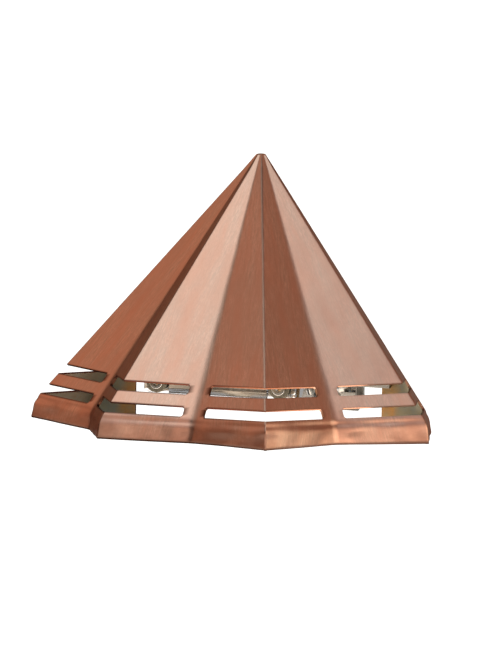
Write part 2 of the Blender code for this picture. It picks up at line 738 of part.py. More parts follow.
def retaining_screw():
    """A knurled, slotted head under the shelf and a shank up through the nut."""
    washer_radius, washer_thick = SCREW_WASHER
    shelf = PLATE_TOP - PLATE
    half = washer_thick / 2
    bore = SCREW + HOLE_CLEAR
    ring_profile = [(washer_radius, half), (washer_radius, -half), (bore, -half), (bore, half)]
    at = (0.0, SCREW_Y, shelf - GAP - half)
    turned("retaining_washer", ring_profile, at, UPRIGHT, STAINLESS)
    head_top = shelf - 2 * GAP - washer_thick
    head_low = head_top - SCREW_HEAD_HEIGHT
    shank_end = STRAP_HEIGHT + STRAP + GAP + NUT[1] + SCREW_PAST_NUT
    bm = bmesh.new()
    outline = []
    for i in range(2 * KNURLS):
        radius = SCREW_HEAD - (0.0 if i % 2 else KNURL_DEPTH)
        angle = math.pi * i / KNURLS
        outline.append(bm.verts.new((radius * math.cos(angle), radius * math.sin(angle), 0.0)))
    face = bm.faces.new(outline)
    raised = bmesh.ops.extrude_face_region(bm, geom=[face])["geom"]
    moved = [item for item in raised if isinstance(item, bmesh.types.BMVert)]
    bmesh.ops.translate(bm, vec=(0.0, 0.0, -SCREW_HEAD_HEIGHT), verts=moved)
    bmesh.ops.recalc_face_normals(bm, faces=bm.faces)
    at = (0.0, SCREW_Y, head_top)
    screw = place("retaining_screw", mesh_of("retaining_screw", bm), at=at, look=BRASS)
    into_head = 1.0
    length = shank_end - head_top + into_head
    shank = rod("shank", SCREW, length, (0.0, SCREW_Y, shank_end - length / 2), "Z")
    combine(screw, shank, "UNION")
    half_slot, depth = SCREW_SLOT
    past = SCREW_HEAD + 2.0
    slot = block("slot", (-past, SCREW_Y - half_slot, head_low - 1.0),
                 (past, SCREW_Y + half_slot, head_low + depth))
    combine(screw, slot, "DIFFERENCE")


def main():
    copper_shade()
    back_plate()
    lamp_bracket()
    rivets()
    for side, sign in (("left", -1), ("right", 1)):
        eyelet(side, sign * CONTACT_X)
        washers(side, sign * CONTACT_X)
        lamp_clip(side, sign)
        terminal(side, sign)
    leads()
    lead_grommet()
    lamp()
    reflector()
    hanger_strap()
    hanger_nut()
    retaining_screw()


main()
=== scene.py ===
"""Looks of the half-pyramid copper post light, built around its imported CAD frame.

The shade's sizes are in millimetres, with heights measured from the lowest edge of its
ridges, and turned into metres where a mesh is made. -Y is the front and Z is up.
"""
import json
import math

import bmesh
import bpy
from mathutils import Matrix, Vector, noise

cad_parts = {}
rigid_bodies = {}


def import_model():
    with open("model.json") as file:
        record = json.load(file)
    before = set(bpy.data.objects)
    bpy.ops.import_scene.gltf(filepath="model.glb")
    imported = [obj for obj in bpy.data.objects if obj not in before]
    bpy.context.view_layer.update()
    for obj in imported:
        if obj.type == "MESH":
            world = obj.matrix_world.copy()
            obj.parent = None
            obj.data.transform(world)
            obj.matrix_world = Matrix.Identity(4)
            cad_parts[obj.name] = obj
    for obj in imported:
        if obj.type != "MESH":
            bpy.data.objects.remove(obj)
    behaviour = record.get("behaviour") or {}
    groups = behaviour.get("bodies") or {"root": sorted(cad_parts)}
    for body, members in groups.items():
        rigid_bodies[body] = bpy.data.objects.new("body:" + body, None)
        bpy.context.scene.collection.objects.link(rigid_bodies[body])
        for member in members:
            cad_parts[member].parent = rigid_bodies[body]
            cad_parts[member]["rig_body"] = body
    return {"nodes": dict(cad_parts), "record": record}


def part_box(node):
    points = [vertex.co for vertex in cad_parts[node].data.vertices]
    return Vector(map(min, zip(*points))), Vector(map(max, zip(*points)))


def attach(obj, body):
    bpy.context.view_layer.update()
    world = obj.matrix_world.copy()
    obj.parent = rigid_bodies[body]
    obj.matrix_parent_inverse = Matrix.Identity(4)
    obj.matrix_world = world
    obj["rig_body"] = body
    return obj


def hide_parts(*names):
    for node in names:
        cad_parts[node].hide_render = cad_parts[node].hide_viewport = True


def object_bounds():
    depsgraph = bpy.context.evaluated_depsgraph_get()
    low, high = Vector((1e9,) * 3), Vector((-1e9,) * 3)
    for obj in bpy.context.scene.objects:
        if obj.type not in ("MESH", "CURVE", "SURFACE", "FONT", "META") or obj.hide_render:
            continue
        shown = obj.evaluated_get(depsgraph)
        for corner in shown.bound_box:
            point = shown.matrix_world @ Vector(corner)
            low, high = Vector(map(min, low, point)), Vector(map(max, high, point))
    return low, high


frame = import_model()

CAD_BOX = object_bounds()
MM = 0.001
BACK = Vector((0.0, 1.0, 0.0))
MIDDLE_HEIGHT = 20.0          # the frame's origin above the lip
SHARP_ANGLE = 40.0            # edges sharper than this, in degrees, stay sharp
TURNED_SHARP_ANGLE = 35.0     # and on the turned pieces

# Copper shade: eight panels between folds that are valleys and ridges by turns
FOLD_ANGLE = 22.5
FOLDS = 8
APEX_HEIGHT = 89.4
SLOPE = 0.881                 # ridge radius lost per unit of height
VALLEY_RATIO = 0.7942
LIP_VALLEY_RATIO = 0.8044
VALLEY_DROP = 1.15
SHEET = 0.8
WEB = 3.7
SLOT_CORNER = 0.8
SLOT_END = WEB + SLOT_CORNER  # where a slot's straight edge starts
RIM_ROUNDING = 0.2            # of its cut edges
LIP_RADIUS = 75.0
LIP_TAPER = 0.214             # ridge radius lost per unit of height below the knee
KNEE = 5.6
KNEE_ROUNDING = 2.0
LIP_TOP = 8.15
FIN = (11.1, 14.7)
PANEL_EDGE = 17.65
SLOTS = ((LIP_TOP, FIN[0]), (FIN[1], PANEL_EDGE))
INNER_TOP = 84.6              # the inner surface closes here
INNER_TIP = INNER_TOP - 1.0
TIP_HEIGHT = 87.6
RISE_STEP = 0.05              # half the height over which a fold's rise is measured

# Its bends, as reaches onto each panel, and its return flanges
RIDGE_BEND = 0.7
RIDGE_SHARE = 0.3             # most of a panel that a ridge's bend takes
VALLEY_BEND = 1.9
VALLEY_SHARE = 0.45
VALLEY_NARROWING = 0.8        # power by which the valleys' bends narrow towards the tip
LIP_PINCH = 1.3               # reach of the valleys' tighter bends on the lip
PINCH_RISE = 3.0              # height over which they tighten
FLANGE_EDGE = 43.2
FLANGE_BEND = 0.8
FLANGE_END = 1.2              # width at which the flange stops

# Its hand-worked lip
LIP_CURL = (0.9, 0.40)        # height and depth of the curl at the lip's lower edge
DENT = 0.95                   # deepest hollow
DENT_SIZE = 0.085             # hollows per millimetre
DENT_MIX = (0.40, 0.8, 0.85)  # level, large hollows and small ones
SMALL_DENTS = 2.1             # how many times finer the small ones are
DENT_FADE = (1.6, 0.35, 4.0)  # the fade's height at the top; share left at the bottom, its rise
GROOVE = (6.5, 0.95, 0.42)    # height, half width and depth of the groove above the lip
GROOVE_MIX = (0.6, 0.9, 0.25)  # level and variation of its depth, and the least of it
GROOVE_SIZE = 0.8             # its variation's size beside the hollows'
GROOVE_PLACE = Vector((7.0, 3.0, 0.0))
LIP_SAG = (0.45, 110.0, 0.8)  # share by which the ridges hang: at x = 0, its run, and the most
SAG_RISE = 4.0

# How dark the painted shade makes the sheet's ridges and lip edge, beside a cut edge's 1
RIDGE_SHADE = 0.85
LIP_SHADE = (0.7, 2.2)         # height of the painted shade's dark line along the lip, and its tone

# Its rows of points, from the lip to the tip, and its columns of quads
LIP_ROWS = (0.06, 0.2, 0.4, 0.65, 0.95, 1.4, 2.0, 2.8, 3.6, 4.0, 4.4, 4.8, 5.2, 5.6, 6.0,
            6.4, 6.8, 7.2, 7.6)
BESIDE_EDGE = (0.4, 1.2)      # rows beside the fin's edges
FIN_MIDDLE = 12.9
PANEL_ROWS = (1.0, 1.25)      # the tall panels' first row above their edge, and the step
TOP_ROWS = (85.6, 86.4, 86.9)
TIP_RINGS = ((87.25, 0.84), (87.45, 0.68), (87.56, 0.45))   # heights and shares of the tip's radius
FLAT_COLUMNS = 14             # across a panel's flat part
BEND_COLUMNS = 4              # on each side of a bend
FLANGE_COLUMNS = 4
FLANGE_BEND_COLUMNS = 3
END_COLUMN_PLACES = (1.7, 2.7)      # on an end panel, between the flange's bend and the web
CORNER_STEPS = 5
COLUMNS = FLAT_COLUMNS + 2 * BEND_COLUMNS + 2     # across a whole panel
END_COLUMNS = COLUMNS + 1                         # and across an end one


# Shapes

def smooth_mesh(name, bm, angle):
    """The bmesh as a mesh that is smooth but at edges sharper than an angle in degrees."""
    mesh = bpy.data.meshes.new(name)
    bm.to_mesh(mesh)
    bm.free()
    mesh.shade_smooth()
    mesh.set_sharp_from_angle(angle=math.radians(angle))
    return mesh


def mesh_object(name, bm, materials):
    """The bmesh, in millimetres and heights above the lip, as an object in the frame."""
    bmesh.ops.translate(bm, vec=(0.0, 0.0, -MIDDLE_HEIGHT), verts=bm.verts)
    bmesh.ops.scale(bm, vec=(MM, MM, MM), verts=bm.verts)
    mesh = smooth_mesh(name, bm, SHARP_ANGLE)
    for material in materials:
        mesh.materials.append(material)
    obj = bpy.data.objects.new(name, mesh)
    bpy.context.scene.collection.objects.link(obj)
    return obj


def clamped(value, low=0.0, high=1.0):
    return max(low, min(high, value))


def ridge_radius(height):
    """The ridges' radius: straight above and below the knee, and rounded between."""
    low, high = KNEE - KNEE_ROUNDING, KNEE + KNEE_ROUNDING
    if height >= high:
        return SLOPE * (APEX_HEIGHT - height)
    if height <= low:
        return LIP_RADIUS - LIP_TAPER * height
    t = (high - height) / (high - low)
    knee = SLOPE * (APEX_HEIGHT - KNEE)
    return (ridge_radius(high) * (1 - t) ** 2 + knee * 2 * t * (1 - t)
            + ridge_radius(low) * t ** 2)


def upper_scale(height):
    """1 up to the tall panels' lower edge, and falling to 0 at the apex."""
    return min(1.0, (APEX_HEIGHT - height) / (APEX_HEIGHT - PANEL_EDGE))


def folds_at(height):
    """The outer surface's points on the folds, from the left flange to the right one."""
    below_knee = max(0.0, 1.0 - height / KNEE)
    ratio = VALLEY_RATIO + (LIP_VALLEY_RATIO - VALLEY_RATIO) * below_knee
    drop = VALLEY_DROP * upper_scale(height)
    spread = SLOPE * (1.0 - below_knee)
    points = []
    for fold in range(FOLDS + 1):
        angle = math.radians(FOLD_ANGLE * (fold - FOLDS / 2))
        radius, z = ridge_radius(height), height
        if fold % 2 == 0:
            radius = (radius + spread * drop) * ratio
            z -= drop
        points.append(Vector((radius * math.sin(angle), -radius * math.cos(angle), z)))
    return points


def solve(rows, values):
    """The vector whose products with the three rows are the values."""
    return Matrix(rows).inverted() @ Vector(values)


class Section:
    """The shade's outer and inner lines at one height, as pairs of points."""

    def __init__(self, height):
        self.height = height
        self.outer = folds_at(height)
        rises = [(b - a).normalized()
                 for a, b in zip(folds_at(height - RISE_STEP), folds_at(height + RISE_STEP))]
        self.normals = [
            (self.outer[i + 1] - self.outer[i]).cross(rises[i] + rises[i + 1]).normalized()
            for i in range(FOLDS)
        ]
        self.flange = abs(self.outer[0].x) - FLANGE_EDGE
        self.has_flange = self.flange >= FLANGE_END
        self.inner = []
        for fold, rise in enumerate(rises):
            before = self.normals[fold - 1] if fold > 0 else BACK
            after = self.normals[fold] if fold < FOLDS else BACK
            depths = [-SHEET, -SHEET]
            if fold in (0, FOLDS) and not self.has_flange:
                depths[0 if fold == 0 else 1] = 0.0
            self.inner.append(self.outer[fold] + solve((before, after, rise), (*depths, 0.0)))

    def reach(self, fold, length):
        """How far a fold's bend reaches onto each of its panels."""
        if fold in (0, FOLDS):
            return FLANGE_BEND if self.has_flange else 0.0
        if fold % 2 == 0:
            pinch = clamped((LIP_TOP - self.height) / PINCH_RISE)
            wide = VALLEY_BEND + (LIP_PINCH - VALLEY_BEND) * pinch
            narrowed = wide * upper_scale(self.height) ** VALLEY_NARROWING
            return min(narrowed, VALLEY_SHARE * length)
        return min(RIDGE_BEND, RIDGE_SHARE * length)

    def bend_end(self, fold, panel):
        """The pair where a fold's bend meets the flat part of a panel or flange."""
        if panel in (-1, FOLDS):
            inward = Vector((math.copysign(FLANGE_BEND, -self.outer[fold].x), 0.0, 0.0))
            outer = self.outer[fold] + inward
            return outer, outer - BACK * SHEET
        other = panel + 1 if fold == panel else panel
        along = self.outer[other] - self.outer[fold]
        outer = self.outer[fold] + along.normalized() * self.reach(fold, along.length)
        return outer, outer - self.normals[panel] * SHEET

    def on_bend(self, fold, t):
        """A point on a fold's bend: t goes from 0 on its left side to 1 on its right."""
        corners = (self.outer[fold], self.inner[fold])
        ends = zip(self.bend_end(fold, fold - 1), corners, self.bend_end(fold, fold))
        return tuple(a * (1 - t) ** 2 + b * 2 * t * (1 - t) + c * t ** 2 for a, b, c in ends)

    def point(self, panel, distance):
        """The pair at a distance from the panel's valley."""
        valley, ridge = (panel, panel + 1) if panel % 2 == 0 else (panel + 1, panel)
        along = self.outer[ridge] - self.outer[valley]
        length = along.length
        for fold, gone in ((valley, distance), (ridge, length - distance)):
            reach = self.reach(fold, length)
            if gone < reach:
                side = 1 if fold == panel else -1
                return self.on_bend(fold, 0.5 + 0.5 * side * gone / reach)
        outer = self.outer[valley] + along / length * distance
        if distance == 0.0:
            return outer, self.inner[valley]
        return outer, outer - self.normals[panel] * SHEET

    def distances(self, panel):
        """Where a panel's columns stand, from its valley to its ridge."""
        length = (self.outer[panel + 1] - self.outer[panel]).length
        scale = upper_scale(self.height)
        valley, ridge = (panel, panel + 1) if panel % 2 == 0 else (panel + 1, panel)
        if panel in (0, FOLDS - 1):
            near = [FLANGE_BEND * i / FLANGE_BEND_COLUMNS * scale
                    for i in range(FLANGE_BEND_COLUMNS + 1)]
            near += [place * scale for place in END_COLUMN_PLACES]
        else:
            bend = self.reach(valley, length)
            near = [bend * i / BEND_COLUMNS for i in range(BEND_COLUMNS + 1)]
        near += [WEB * scale, SLOT_END * scale]
        far = self.reach(ridge, length)
        flat = length - far - near[-1]
        middle = [near[-1] + flat * i / FLAT_COLUMNS for i in range(1, FLAT_COLUMNS)]
        end = [length - far * i / BEND_COLUMNS for i in range(BEND_COLUMNS, -1, -1)]
        return near + middle + end

    def flange_line(self, fold):
        """The flange's pairs from its inner edge to the fold, which isn't among them."""
        if not self.has_flange:
            return []
        sign = math.copysign(1.0, self.outer[fold].x)
        flat_end = abs(self.outer[fold].x) - FLANGE_BEND
        start, way = (0.0, 1.0) if fold == 0 else (1.0, -1.0)
        line = []
        for i in range(FLANGE_COLUMNS):
            x = FLANGE_EDGE + (flat_end - FLANGE_EDGE) * i / FLANGE_COLUMNS
            outer = Vector((sign * x, 0.0, self.outer[fold].z))
            line.append((outer, outer - BACK * SHEET))
        steps = [way * 0.5 / FLANGE_BEND_COLUMNS * i for i in range(FLANGE_BEND_COLUMNS)]
        return line + [self.on_bend(fold, start + step) for step in steps]


def worked(pair, normal, height):
    """The pair moved by the hollows, groove, curl and sag of the hand-worked lip."""
    fade, least, rise = DENT_FADE
    share = clamped((LIP_TOP - height) / fade)
    at = pair[0] * DENT_SIZE
    level, large, small = DENT_MIX
    hollow = level + large * noise.noise(at) + small * noise.noise(at * SMALL_DENTS)
    body = share * min(1.0, least + height / rise) * max(0.0, 1.0 - height / LIP_TOP)
    middle, half, depth = GROOVE
    level, change, least = GROOVE_MIX
    uneven = clamped(level + change * noise.noise(at * GROOVE_SIZE + GROOVE_PLACE), least)
    groove = depth * uneven * math.exp(-((height - middle) / half) ** 2)
    curl = max(0.0, 1.0 - height / LIP_CURL[0]) ** 2 * LIP_CURL[1]
    inwards = Vector((normal.x, normal.y, 0.0)) * -1.0
    move = inwards * (DENT * body * clamped(hollow) + groove * share + curl)
    level, run, most = LIP_SAG
    sag = clamped(level + pair[0].x / run, high=most)
    move.z -= sag * (pair[0].z - height + VALLEY_DROP) * max(0.0, 1.0 - height / SAG_RISE)
    return pair[0] + move, pair[1] + move


class Sheet:
    """Builds the shade's outer surface, its inner one and the rims between them."""

    OUTSIDE, INSIDE, RIM, FLANGE = 0, 1, 2, 3

    def __init__(self):
        self.bm = bmesh.new()
        self.uv = self.bm.loops.layers.uv.new("grain")
        self.edge = self.bm.verts.layers.float.new("edge")
        self.partner = {}
        self.frames = [panel_frame(panel) for panel in range(FOLDS)]

    def add(self, pair):
        """A vertex on the outer surface, with its partner on the inner one."""
        outer, inner = (self.bm.verts.new(p) for p in pair)
        self.partner[outer] = inner
        return outer

    def face(self, verts, panel):
        """The face on the outside, and its partner on the inside."""
        kept = [v for i, v in enumerate(verts) if v != verts[i - 1]]
        if len(kept) < 3:
            return
        nearest = max(0, min(FOLDS - 1, panel))
        self.paint(self.bm.faces.new(kept), nearest, self.OUTSIDE)
        inner = self.bm.faces.new([self.partner[v] for v in reversed(kept)])
        self.paint(inner, nearest, self.INSIDE if panel == nearest else self.FLANGE)

    def paint(self, face, panel, material):
        """Gives a face its material, and its grain the panel's directions."""
        face.material_index = material
        origin, across, down = self.frames[panel]
        for loop in face.loops:
            offset = loop.vert.co - origin
            loop[self.uv].uv = (offset.dot(across), offset.dot(down))

    def darken_edges(self, height, line, flange):
        """Marks the ridges and the lip's lowest edge for painted shade, which darkens them."""
        tall, tone = LIP_SHADE
        for vert in line:
            vert[self.edge] = tone * max(0.0, 1.0 - height / tall)
        for fold in range(1, FOLDS, 2):
            for step in range(-2, 3):
                vert = line[flange + first_column(fold) + step]
                vert[self.edge] = max(vert[self.edge], RIDGE_SHADE * (1.0 - abs(step) / 3))

    def rims(self):
        """Closes the gap between the surfaces along every open edge of the outer one."""
        outer = set(self.partner)
        for edge in [e for e in self.bm.edges if e.is_boundary and e.verts[0] in outer]:
            a, b = edge.verts
            # The cut edges get the fullest painted shade.
            for vert in (a, b, self.partner[a], self.partner[b]):
                vert[self.edge] = max(vert[self.edge], 1.0)
            panel = 0 if edge.link_faces[0].calc_center_median().x < 0 else FOLDS - 1
            face = self.bm.faces.new((a, b, self.partner[b], self.partner[a]))
            self.paint(face, panel, self.RIM)


def panel_frame(panel):
    """A panel's origin at the apex, and its directions across and along the grain."""
    low, high = folds_at(PANEL_EDGE), Vector((0.0, 0.0, APEX_HEIGHT))
    down = ((low[panel] - high).normalized() + (low[panel + 1] - high).normalized()).normalized()
    normal = (low[panel + 1] - low[panel]).cross(high - low[panel]).normalized()
    return high, down.cross(normal).normalized(), down


def heights():
    """The heights of the rows of points below the tip."""
    (lip, fin), (fin_top, panel) = SLOTS
    near, far = BESIDE_EDGE
    rows = [*LIP_ROWS, lip, lip + SLOT_CORNER, fin - SLOT_CORNER, fin, fin + near, fin + far]
    rows += [FIN_MIDDLE, fin_top - far, fin_top - near, fin_top, fin_top + SLOT_CORNER]
    rows += [panel - SLOT_CORNER, panel, panel + near]
    first, step = PANEL_ROWS
    height = panel + first
    while height < INNER_TOP - step / 2:
        rows.append(height)
        height += step
    return rows + [INNER_TOP, *TOP_ROWS]


class Row:
    """The pairs of points at one height, and the vertices that the sheet gives them."""

    def __init__(self, height):
        self.height = height
        self.section = Section(height)
        left, right = self.section.flange_line(0), self.section.flange_line(FOLDS)
        self.flange = len(left)
        self.pairs = left
        for panel in range(FOLDS):
            made = [worked(self.section.point(panel, distance), self.section.normals[panel], height)
                    for distance in self.section.distances(panel)]
            if panel % 2:
                made.reverse()
            self.pairs = self.pairs + (made if panel == 0 else made[1:])
        self.pairs = self.pairs + right[::-1]

    def close_inside(self, top):
        """Draws the inner points in from the last full row to a point, as the height rises."""
        share = (self.height - INNER_TOP) / (TIP_HEIGHT - INNER_TOP)
        closing = Vector((0.0, 0.0, INNER_TIP))
        self.pairs = [(pair[0], base[1].lerp(closing, share))
                      for pair, base in zip(self.pairs, top.pairs)]

    def place(self, sheet):
        """Adds the pairs to the sheet, and marks the edges that have darkened."""
        self.verts = [sheet.add(pair) for pair in self.pairs]
        sheet.darken_edges(self.height, self.verts, self.flange)


def copper_shade(materials):
    """The whole shade, with its slots, rolled lip, flanges and blunt tip."""
    sheet = Sheet()
    rows = [Row(height) for height in heights()]
    top = next(row for row in rows if row.height == INNER_TOP)
    for row in rows:
        if row.height > INNER_TOP:
            row.close_inside(top)
        row.place(sheet)
    for lower, upper in zip(rows, rows[1:]):
        join_rows(sheet, lower, upper)
    for slot in SLOTS:
        slot_corners(sheet, rows, slot)
    tip(sheet, rows[-1])
    sheet.rims()
    bmesh.ops.remove_doubles(sheet.bm, verts=sheet.bm.verts, dist=1e-4)
    bmesh.ops.recalc_face_normals(sheet.bm, faces=sheet.bm.faces)
    shade = mesh_object("shade_sheet", sheet.bm, materials)
    rounded(shade, RIM_ROUNDING, 2, 60.0, harden=False)
    return shade


def join_rows(sheet, lower, upper):
    """The faces between two rows, without those in the slots or above a flange's end."""
    ended = lower.flange and not upper.flange
    verts = lower.verts[lower.flange:-lower.flange] if ended else lower.verts
    flange = 0 if ended else lower.flange
    is_open = any(low <= lower.height < high for low, high in SLOTS)
    for i in range(len(verts) - 1):
        panel = panel_of(i - flange)
        if is_open and in_slot(i - flange, panel):
            continue
        sheet.face((verts[i], verts[i + 1], upper.verts[i + 1], upper.verts[i]), panel)


def panel_of(column):
    """The panel that a column of faces is on: -1 and FOLDS are the flanges.

    The last panel's outermost column, which is on the bend, counts as its flange's.
    """
    if column < 0:
        return -1
    return clamped(1 + (column - END_COLUMNS) // COLUMNS, 0, FOLDS)


def first_column(panel):
    """The first column of a panel, or of the right flange."""
    if panel == 0:
        return 0
    return END_COLUMNS + (panel - 1) * COLUMNS + (panel == FOLDS)


def web_columns(panel):
    """The columns between a panel's valley and its slots."""
    return first_column(panel + 1) - first_column(panel) - FLAT_COLUMNS - BEND_COLUMNS - 1


def in_slot(column, panel):
    """Whether the slots cut a column of faces away."""
    if not 0 <= panel < FOLDS:
        return False
    web = web_columns(panel)
    if panel % 2 == 0:
        return column >= first_column(panel) + web
    return column < first_column(panel + 1) - web


def slot_corners(sheet, rows, slot):
    """Rounds the corners that a slot has at each web."""
    for edge, inward in ((slot[0], 1), (slot[1], -1)):
        index = next(i for i, row in enumerate(rows) if row.height == edge)
        row, beside = rows[index], rows[index + inward]
        for panel in range(FOLDS):
            if panel % 2 == 0:
                at, way = first_column(panel) + web_columns(panel), 1
            else:
                at, way = first_column(panel + 1) - web_columns(panel), -1
            at += row.flange
            points = [row.verts[at + way]]
            for i in range(1, CORNER_STEPS):
                angle = math.pi / 2 * i / CORNER_STEPS
                distance = SLOT_END - SLOT_CORNER * math.sin(angle)
                height = edge + inward * SLOT_CORNER * (1 - math.cos(angle))
                pair = Section(height).point(panel, distance)
                points.append(sheet.add(worked(pair, row.section.normals[panel], height)))
            points.append(beside.verts[at])
            for a, b in zip(points, points[1:]):
                sheet.face((row.verts[at], a, b), panel)


def tip(sheet, last_row):
    """The small blunt end, as rings that shrink to the axis."""
    base = ridge_radius(last_row.height)
    closing = Vector((0.0, 0.0, INNER_TIP))
    lower = last_row.verts
    for height, share in TIP_RINGS:
        scale = share * base / max(vert.co.xy.length for vert in lower)
        upper = []
        for vert in lower:
            outer = Vector((vert.co.x * scale, vert.co.y * scale, height))
            upper.append(sheet.add((outer, sheet.partner[vert].co.lerp(closing, 0.5))))
        for i in range(len(lower) - 1):
            sheet.face((lower[i], lower[i + 1], upper[i + 1], upper[i]), FOLDS // 2 - 1)
        lower = upper
    centre = sheet.add((Vector((0.0, 0.0, TIP_HEIGHT)), closing))
    for a, b in zip(lower, lower[1:]):
        sheet.face((a, b, centre), FOLDS // 2 - 1)


# Materials

class Look:
    """A Principled material, and its nodes while they are made."""

    def __init__(self, name, colour, **values):
        self.material = bpy.data.materials.new(name)
        self.material.use_nodes = True
        self.tree = self.material.node_tree
        self.shader = self.tree.nodes["Principled BSDF"]
        self.shader.inputs["Base Color"].default_value = (*colour, 1.0)
        for socket, value in values.items():
            self.shader.inputs[socket.replace("_", " ").title()].default_value = value

    def node(self, kind, inputs=None, **settings):
        """A node of a kind, with its inputs linked or given a value."""
        made = self.tree.nodes.new(kind)
        for key, value in settings.items():
            setattr(made, key, value)
        for socket, value in (inputs or {}).items():
            if isinstance(value, bpy.types.NodeSocket):
                self.tree.links.new(value, made.inputs[socket])
            else:
                made.inputs[socket].default_value = value
        return made

    def object_coordinates(self, scale=(1.0, 1.0, 1.0)):
        """Coordinates on the piece, in 1/scale metres."""
        source = self.node("ShaderNodeTexCoord").outputs["Object"]
        return self.node("ShaderNodeMapping", {"Vector": source, "Scale": scale}).outputs[0]

    def grain_coordinates(self, scale, turn=0.0):
        """Millimetres across and along the grain, turned by some degrees and scaled."""
        source = self.node("ShaderNodeUVMap", uv_map="grain").outputs["UV"]
        inputs = {"Vector": source, "Scale": scale, "Rotation": (0.0, 0.0, math.radians(turn))}
        return self.node("ShaderNodeMapping", inputs).outputs[0]

    def math(self, operation, *values):
        inputs = dict(enumerate(values))
        return self.node("ShaderNodeMath", inputs, operation=operation).outputs[0]

    def place(self, axis):
        """The height, or other coordinate, on the piece, in metres."""
        inputs = {"Vector": self.object_coordinates()}
        return self.node("ShaderNodeSeparateXYZ", inputs).outputs[axis]

    def noise(self, vector, scale, detail=3.0, roughness=0.5):
        inputs = {"Vector": vector, "Scale": scale, "Detail": detail, "Roughness": roughness}
        return self.node("ShaderNodeTexNoise", inputs).outputs["Fac"]

    def spread(self, value, low, high, start=0.3, end=0.7):
        """A noise's middle range, mapped to low and high."""
        inputs = {"Value": value, 1: start, 2: end, 3: low, 4: high}
        return self.node("ShaderNodeMapRange", inputs).outputs["Result"]

    def mix(self, share, first, second):
        """The first colour turning into the second as the share rises."""
        made = self.node("ShaderNodeMix", data_type="RGBA")
        for index, value in ((0, share), (6, first), (7, second)):
            socket = made.inputs[index]
            if isinstance(value, bpy.types.NodeSocket):
                self.tree.links.new(value, socket)
            elif isinstance(value, tuple) and len(value) == 3:
                socket.default_value = (*value, 1.0)
            else:
                socket.default_value = value
        return made.outputs[2]

    def bump(self, height, depth, strength=1.0, under=None):
        inputs = {"Height": height, "Distance": depth, "Strength": strength}
        if under is not None:
            inputs["Normal"] = under
        return self.node("ShaderNodeBump", inputs).outputs["Normal"]

    def use(self, **sockets):
        """Links the shader's sockets, and gives the finished material."""
        for socket, value in sockets.items():
            self.tree.links.new(value, self.shader.inputs[socket.replace("_", " ").title()])
        return self.material


def tint(colour, factor):
    return tuple(min(1.0, c * factor) for c in colour)


def brushed_copper(name, colour, roughness, edge_shade):
    """Copper brushed along the panels under a thin clear lacquer, with painted shade darkening its
    cut edges, ridges and lip edge, more towards -X.
    """
    look = Look(name, colour, metallic=1.0, anisotropic=0.5, coat_weight=0.10,
                coat_roughness=0.15)
    look.shader.inputs["Specular Tint"].default_value = (*EDGE_ON, 1.0)
    hairs = look.noise(look.grain_coordinates((1.0, 0.11, 1.0)), 1.5, 7.0, 0.8)
    fine = look.noise(look.grain_coordinates((1.0, 0.35, 1.0)), 2.0, 4.0, 0.7)
    swirls = look.noise(look.grain_coordinates((0.5, 0.12, 1.0), SWIRL_TURN), 0.5, 4.0, 0.6)
    bands = look.noise(look.grain_coordinates((1.0, 0.2, 1.0)), 0.11, 3.0, 0.6)
    clouds = look.noise(look.object_coordinates(), 30.0, 4.0, 0.6)
    rosy = tuple(c * share for c, share in zip(colour, ROSY))
    dull, bright = tint(colour, 0.76), tint(colour, 1.18)
    toned = look.mix(look.spread(hairs, 0.0, 1.0, 0.38, 0.62), dull, bright)
    # Each pattern, its most share, the noise at which it has that, and its tone
    layers = (
        (fine, 0.6, 0.60, tint(colour, 0.80)),
        (bands, 0.75, 0.60, rosy),
        (swirls, 0.35, 0.60, tint(rosy, 0.9)),
        (clouds, 0.45, 0.62, tint(colour, 0.80)),
    )
    for pattern, most, end, tone in layers:
        toned = look.mix(look.spread(pattern, 0.0, most, 0.42, end), toned, tone)
    # Painted shade: dark blotches on the lip, for the uneven reflections of its hollows
    blotches = look.noise(look.object_coordinates((1.0, 1.0, 2.2)), 75.0, 4.0, 0.55)
    on_lip = look.spread(look.place("Z"), 0.0, 1.0, *LIP_BLOTCH_SHADE)
    blotch_shade = look.math("MULTIPLY", look.spread(blotches, 0.0, 0.75, 0.42, 0.62), on_lip)
    toned = look.mix(blotch_shade, toned, tint(rosy, 0.66))
    # Painted shade: the edges darken, most towards -X, where they face away from the light.
    edge = look.node("ShaderNodeAttribute", attribute_name="edge").outputs["Fac"]
    edge_shade_ramp = look.spread(look.place("X"), *edge_shade, *EDGE_SHADE_RUN)
    edged = look.mix(look.math("MULTIPLY", edge, edge_shade_ramp), toned, EDGE_SHADE)
    rough = look.spread(hairs, roughness - 0.05, roughness + 0.07)
    tangent = look.node("ShaderNodeTangent", direction_type="UV_MAP", uv_map="grain").outputs[0]
    soft = look.bump(look.noise(look.object_coordinates(), 55.0, 2.0), 0.0006, 0.4)
    normal = look.bump(hairs, 0.00003, 0.7, soft)
    return look.use(base_color=edged, roughness=rough, normal=normal, tangent=tangent)


def dulled_copper(name, olive, brown, grey, far=None):
    """Unpolished copper: brown and olive oxide in soft patches, and another tone far out, which on
    the flanges is painted shade.
    """
    look = Look(name, olive, metallic=0.8, roughness=0.4)
    patches = look.noise(look.object_coordinates(), 60.0, 4.0, 0.6)
    specks = look.noise(look.object_coordinates(), 420.0, 3.0, 0.6)
    base = look.mix(look.spread(patches, 0.0, 1.0), olive, brown)
    if far:
        # Far out, by the fold, the flanges turn to painted shade
        out = look.math("ABSOLUTE", look.place("X"))
        uneven = look.math("ADD", look.spread(patches, -FLANGE_UNEVEN, FLANGE_UNEVEN), out)
        base = look.mix(look.spread(uneven, 0.0, 1.0, *FLANGE_SHADE_RUN), base, far)
    mottled = look.mix(look.spread(specks, 0.0, 0.7), base, grey)
    return look.use(base_color=mottled, roughness=look.spread(patches, 0.30, 0.5),
                    normal=look.bump(specks, 0.00005, 0.5))


